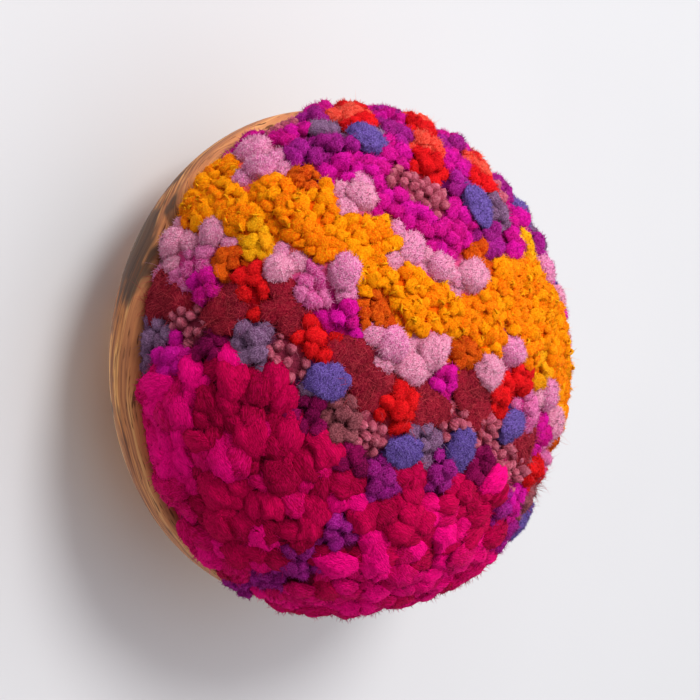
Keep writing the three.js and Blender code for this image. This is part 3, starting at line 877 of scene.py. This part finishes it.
# The share of hot pink grows over these depths towards the rim, and over these drops below the middle:
# partly the roving's own colour, partly painted light on the dim rim and underside.
RIM_BAND, LOW_BAND = (0.046, 0.060), (0.044, 0.060)
FIBRES_PER_LOCK, LOCKS_PER_STRAY = 90, 4
LOCK_FUZZ = dict(length=(0.0010, 0.0024), width=0.00024, lean=0.55, comb=0.45, bend=0.2,
                 paler=(0.0, 0.30), speckle=0.16)
LOCK_STRAYS = dict(length=(0.003, 0.005), width=0.00008, lean=0.5, comb=0.3, bend=0.5, rings=3)
ROVING_FINISH = dict(fibre=0.4, streak=0.2, heather=0.75, relief=0.9)
ROVING_WOOLS = {
    "crimson": wool("crimson_roving", "crimson", dyed(138, 0, 38), dyed(194, 0, 68), dyed(222, 2, 92),
                    **ROVING_FINISH),
    "hot_pink": wool("hot_pink_roving", "hot_pink", dyed(196, 0, 72), dyed(248, 0, 124),
                     dyed(254, 14, 138), **ROVING_FINISH),
}
lock_heads = [shaped_head(3, LOCK_SIZE, LOCK_ROUGHEN, seed, LOCK_SMOOTH, LOCK_DROOP)
              for seed in range(50, 58)]
roving_at, roving_facing = head_at[head_yarn == "crimson"], head_facing[head_yarn == "crimson"]
# Sunk loops sit deeper and take lower heights, so they are painted darker: painted shade.
sunk = rng.random(len(roving_at)) < SUNK_SHARE
near_rim = np.maximum(np.interp(-roving_at[:, 1], RIM_BAND, (1, 0)),
                      np.interp(-roving_at[:, 2], LOW_BAND, (0, 1)))
hot = rng.random(len(roving_at)) < HOT_INSIDE + (HOT_AT_RIM - HOT_INSIDE) * near_rim
for name, material in ROVING_WOOLS.items():
    dyed_so = hot == (name == "hot_pink")
    layers = []
    for layer, depth, heights in ((sunk, SUNK_DEPTH, SUNK_HEIGHTS), (~sunk, STAND_DEPTH, STAND_HEIGHTS)):
        mine = layer & dyed_so
        at = roving_at[mine]
        up, across = stand(at, roving_facing[mine], LOCK_LEAN, LOCK_FACING)
        round_rim = unit(np.cross(up, unit(at * np.array([1, 0, 1]))))
        along = unit(np.cross(up, np.cross(round_rim + LOCK_TURN * across, up)))
        size = rng.uniform(*LOCK_SPREAD, len(at))
        layers.append(punched(lock_heads, at - up * depth, up, along, size, rng.random(len(at)), heights,
                              LOCK_EASE))
    pile = gathered(layers)
    hairs = [fibres(pile, FIBRES_PER_LOCK * dyed_so.sum(), **LOCK_FUZZ),
             fibres(pile, dyed_so.sum() // LOCKS_PER_STRAY, **LOCK_STRAYS)]
    punched_piece(name + "_locks", pile, hairs, material)

# The stage: a plain pale floor well below the piece, and a plain pale wall that its foot lies against.
# The wall shows from the front only, and gives way to light, so that the foot can be seen from behind.
FLOOR_DROP = 0.6
WALL_GAP = 0.0004
STAGE_WIDTH = 6.0
PAINT_SHADES = ((200, 200, 202), (205, 205, 207))
MOTTLE_SCALE, PAINT_ROUGHNESS = 9.0, 0.9
bpy.ops.object.select_all(action="DESELECT")
bpy.ops.mesh.primitive_plane_add(size=STAGE_WIDTH, location=(0, 0, -FLOOR_DROP))
floor = bpy.context.object
floor.name = "pale_floor"
bpy.ops.mesh.primitive_plane_add(size=STAGE_WIDTH, location=(0, WALL_GAP, 0), rotation=(math.pi / 2, 0, 0))
wall = bpy.context.object
wall.name = "pale_wall"
wall.visible_shadow = False
for stage_piece, one_sided in ((floor, False), (wall, True)):
    stage_piece.visible_diffuse = False
    stage_piece.visible_glossy = False
    paint = bpy.data.materials.new(stage_piece.name)
    paint.use_nodes = True
    tree = paint.node_tree
    place = node(tree, "TexCoord").outputs["Object"]
    mottle = node(tree, "TexNoise", {"Vector": place, "Scale": MOTTLE_SCALE, "Detail": 2.0}).outputs["Fac"]
    pale = mixed(tree, mottle, *[dyed(*shade) for shade in PAINT_SHADES])
    finish = tree.nodes["Principled BSDF"]
    tree.links.new(pale, finish.inputs["Base Color"])
    finish.inputs["Roughness"].default_value = PAINT_ROUGHNESS
    if one_sided:
        behind = node(tree, "NewGeometry").outputs["Backfacing"]
        clear = node(tree, "BsdfTransparent").outputs["BSDF"]
        sided = node(tree, "MixShader", {0: behind, 1: finish.outputs["BSDF"], 2: clear})
        tree.links.new(sided.outputs["Shader"], tree.nodes["Material Output"].inputs["Surface"])
    stage_piece.data.materials.append(paint)

# Light: a broad soft window high in front, and pale air that is brightest overhead, with less from the
# right and from low on the right. On the wall's side it is bright too, as a pale wall throws light back.
# Where the air itself is seen, it is an even pale grey.
WINDOW_AT = (0.0, -1.386, 0.80)
WINDOW_WIDTH = 0.6
WINDOW_POWER = 16.8
WINDOW_AIM = (0, -0.04, 0)
WINDOW_COLOUR = (1.0, 0.985, 0.97)
AIR_COLOUR = (0.97, 0.97, 1.0, 1.0)
WALL_SIDE = (-0.1, 0.3)
# Where the air's light comes from, and how strong it is there.
AIR_LIGHTS = [
    ((0.097, -0.195, 0.976), 1.28),
    ((0.941, -0.282, 0.188), 0.68),
    ((0.45, -0.55, -0.70), 0.70),
]
EVEN_AIR, WALL_AIR, SEEN_AIR = 0.05, 0.85, 0.80
window = bpy.data.objects.new("window", bpy.data.lights.new("window", "AREA"))
window.data.shape = "DISK"
window.data.size = WINDOW_WIDTH
window.data.energy = WINDOW_POWER
window.data.color = WINDOW_COLOUR
window.location = WINDOW_AT
window.rotation_mode = "QUATERNION"
window.rotation_quaternion = (Vector(WINDOW_AIM) - Vector(WINDOW_AT)).to_track_quat("-Z", "Y")
bpy.context.scene.collection.objects.link(window)
air = bpy.data.worlds.new("pale_air")
air.use_nodes = True
tree = air.node_tree
toward = node(tree, "TexCoord").outputs["Generated"]
glow = EVEN_AIR
for way, strength in AIR_LIGHTS:
    facing_air = node(tree, "VectorMath", {0: toward, 1: way}, operation="DOT_PRODUCT").outputs["Value"]
    lobe = math_node(tree, "MULTIPLY", math_node(tree, "MAXIMUM", facing_air), strength)
    glow = math_node(tree, "ADD", lobe, glow)
wallward = fade(tree, node(tree, "SeparateXYZ", {"Vector": toward}).outputs["Y"], *WALL_SIDE)
walled = node(tree, "Mix", {0: wallward, 2: glow, 3: WALL_AIR}).outputs[0]
in_sight = node(tree, "LightPath").outputs["Is Camera Ray"]
seen = node(tree, "Mix", {0: in_sight, 2: walled, 3: SEEN_AIR}).outputs[0]
tree.links.new(seen, tree.nodes["Background"].inputs["Strength"])
tree.nodes["Background"].inputs["Color"].default_value = AIR_COLOUR
bpy.context.scene.world = air
bpy.context.scene.view_settings.view_transform = "Standard"

# The camera: it stands to the left of the piece, a little above its middle, with a long lens.
# It looks a little past the piece's middle, so that this falls on its own place in the picture.
VIEW_TURN = math.radians(-44.1)
VIEW_RISE = math.radians(4.27)
VIEW_DISTANCE = 0.6702
VIEW_CENTRE = Vector((0, -0.035, 0))
IMAGE_WIDTH = 700
FOCAL_PIXELS = 2200
SENSOR_WIDTH = 36
NEAR_CLIP = 0.01
CENTRE_PIXEL = (322.0, 357.6)
back = Vector((math.sin(VIEW_TURN) * math.cos(VIEW_RISE), -math.cos(VIEW_TURN) * math.cos(VIEW_RISE),
               math.sin(VIEW_RISE)))
right = Vector((math.cos(VIEW_TURN), math.sin(VIEW_TURN), 0))
upward = back.cross(right)
pixel = VIEW_DISTANCE / FOCAL_PIXELS
aim = (VIEW_CENTRE + right * (IMAGE_WIDTH / 2 - CENTRE_PIXEL[0]) * pixel
       + upward * (CENTRE_PIXEL[1] - IMAGE_WIDTH / 2) * pixel)
camera = bpy.data.objects.new("camera", bpy.data.cameras.new("camera"))
camera.data.sensor_width = SENSOR_WIDTH
camera.data.lens = SENSOR_WIDTH * FOCAL_PIXELS / IMAGE_WIDTH
camera.data.clip_start = NEAR_CLIP
camera.location = VIEW_CENTRE + back * VIEW_DISTANCE
camera.rotation_mode = "QUATERNION"
camera.rotation_quaternion = (aim - camera.location).to_track_quat("-Z", "Y")
bpy.context.scene.collection.objects.link(camera)
bpy.context.scene.camera = camera
